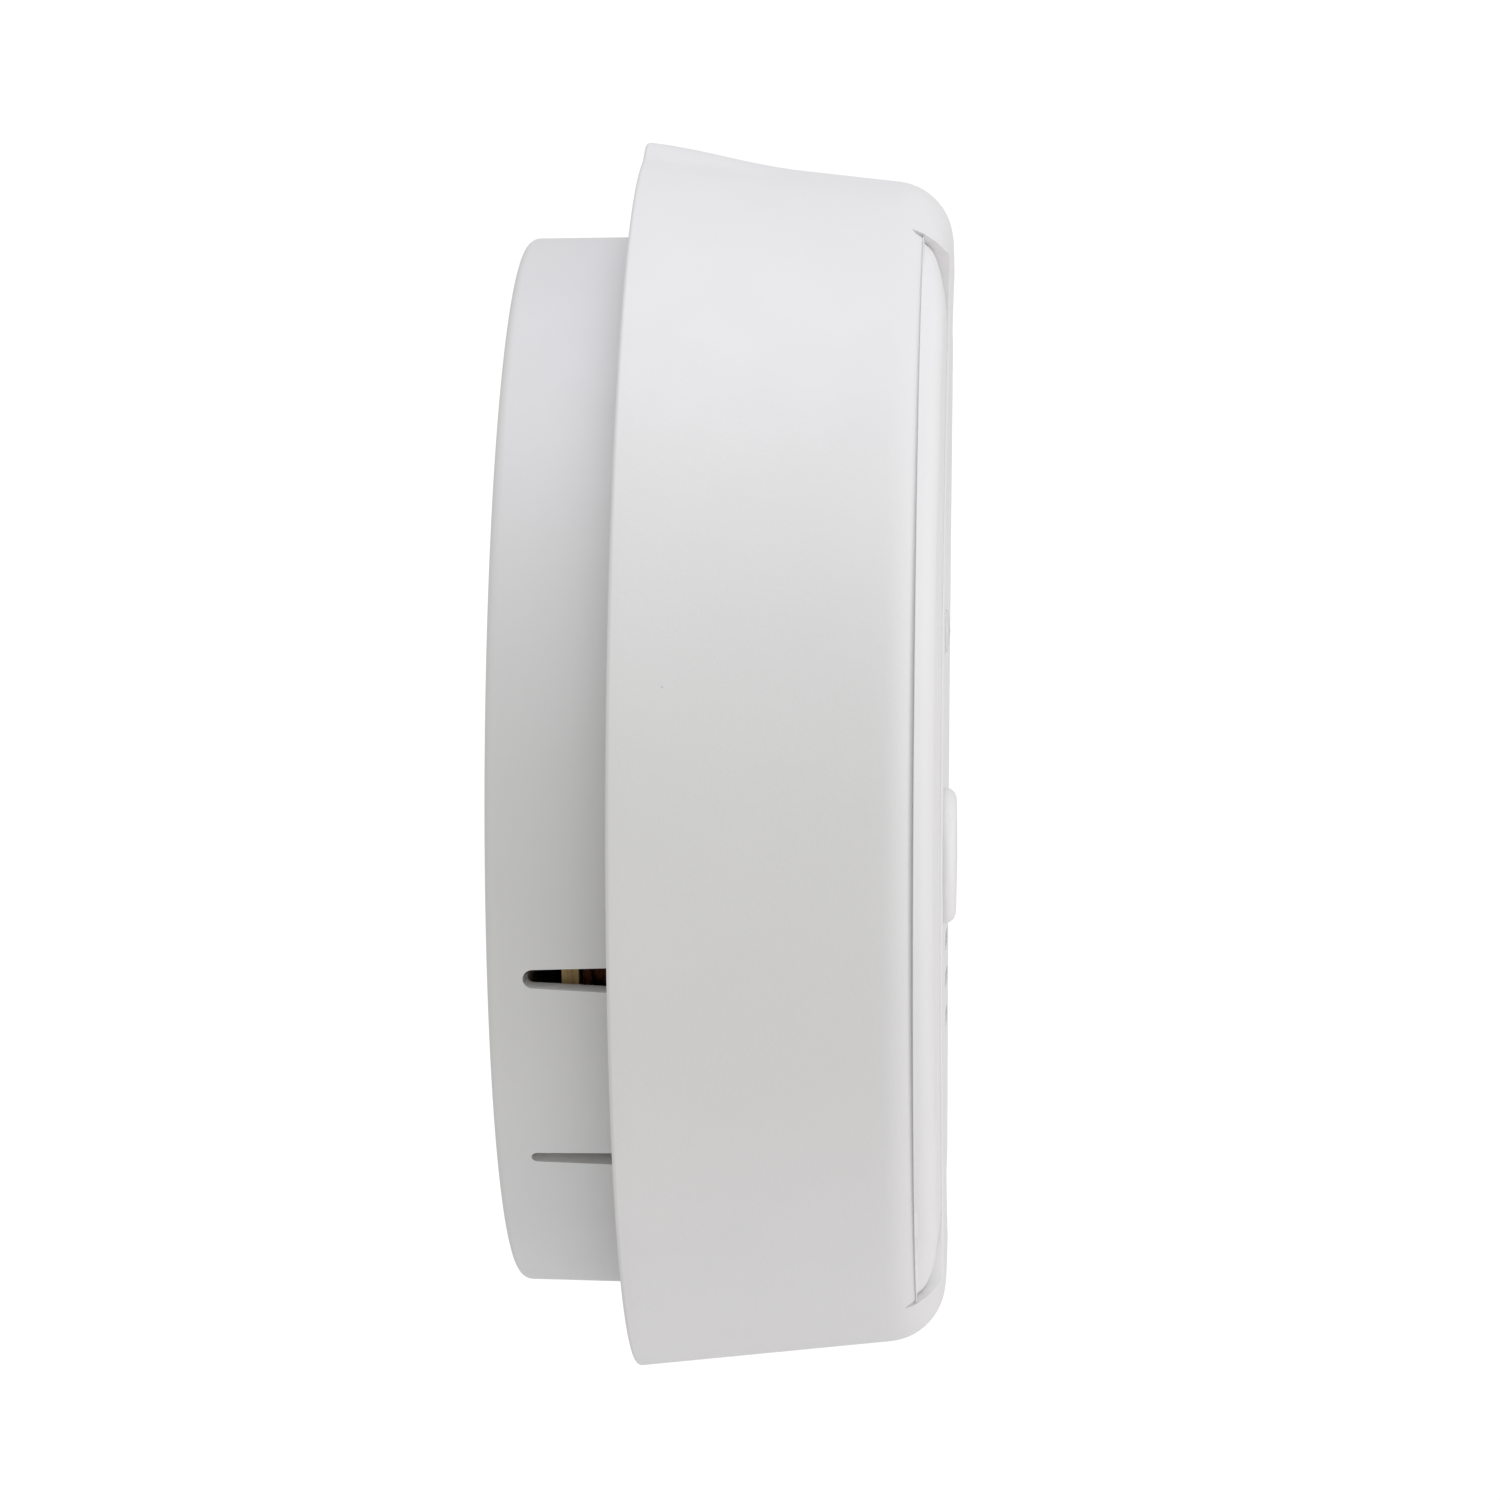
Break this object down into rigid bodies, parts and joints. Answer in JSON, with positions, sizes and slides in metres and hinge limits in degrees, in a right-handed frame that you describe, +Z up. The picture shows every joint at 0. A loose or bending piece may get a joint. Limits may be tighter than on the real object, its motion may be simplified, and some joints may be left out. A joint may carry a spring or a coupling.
{
  "type": "smoke alarm",
  "caption": "Round domestic smoke alarm: drafted cover with finger lip and test button, hinged on a vented rear housing held by a twist-lock bracket.",
  "frame": {"origin": "centre of the mounting bracket's flat back face, on the wall or ceiling that holds the alarm", "axes": "+X out of the wall along the alarm's round axis towards its face, +Z up through the finger lip, +Y to the far side"},
  "size_m": [0.0429, 0.1212, 0.1222],
  "materials": {
    "white_shell": "moulded white plastic with a fine grain",
    "white_trim": "moulded white plastic, slightly smoother",
    "bracket_plastic": "plain moulded off-white plastic",
    "circuit_board": "tan laminate with a satin lacquer",
    "black_plastic": "matt black moulding",
    "brown_coil": "dark brown dipped winding",
    "capacitor_sleeve": "shrunk dark sleeve",
    "steel": "plated steel",
    "brass": "rolled brass with a ceramic face",
    "clear_plastic": "moulded clear plastic",
    "red_lamp": "tinted lamp resin",
    "battery": "dark printed metal jacket, no lettering",
    "screen": "woven insect screen"
  },
  "bodies": {
    "bracket": {"mounting_bracket": "bracket_plastic"},
    "base": {"rear_housing": "white_shell", "hinge_pin": "steel", "circuit_board": "circuit_board", "board_screw_1": "steel", "board_screw_2": "steel", "board_screw_3": "steel", "chamber_base": "black_plastic", "chamber_cap": "black_plastic", "insect_screen": "screen", "ir_emitter": "clear_plastic", "photodiode": "black_plastic", "horn_housing": "black_plastic", "piezo_disc": "brass", "piezo_contact_1": "steel", "piezo_contact_2": "steel", "piezo_contact_3": "steel", "battery": "battery", "battery_cradle": "white_shell", "battery_terminal_block": "black_plastic", "battery_contact_positive": "steel", "battery_contact_negative": "steel", "tact_switch": "black_plastic", "indicator_led": "red_lamp", "control_chip": "black_plastic", "capacitor_1": "capacitor_sleeve", "capacitor_2": "capacitor_sleeve", "choke_coil": "brown_coil"},
    "cover": {"front_cover": "white_shell", "face_insert_near": "white_trim", "face_insert_far": "white_trim", "button_guide": "white_shell", "button_spring": "steel", "light_pipe": "clear_plastic"},
    "button": {"test_button": "white_trim"},
    "plunger": {"switch_plunger": "black_plastic"}
  },
  "joints": [
    {"name": "bracket_twist", "type": "hinge", "parent": "bracket", "child": "base", "pos_m": [0, 0, 0], "axis": [1, 0, 0], "range_deg": [0, 18]},
    {"name": "cover_hinge", "type": "hinge", "parent": "base", "child": "cover", "pos_m": [0.014, 0, -0.0553], "axis": [0, 1, 0], "range_deg": [0, 95]},
    {"name": "button_press", "type": "slide", "parent": "cover", "child": "button", "axis": [-1, 0, 0], "range_m": [0, 0.001], "stiffness_N_per_m": 500, "springref_m": -0.002, "deforming": ["button_spring"]},
    {"name": "plunger_press", "type": "slide", "parent": "base", "child": "plunger", "axis": [-1, 0, 0], "range_m": [0, 0.0003]}
  ],
  "couplings": [
    {"joint": "plunger_press", "follows": "button_press", "ratio": 0.3}
  ]
}
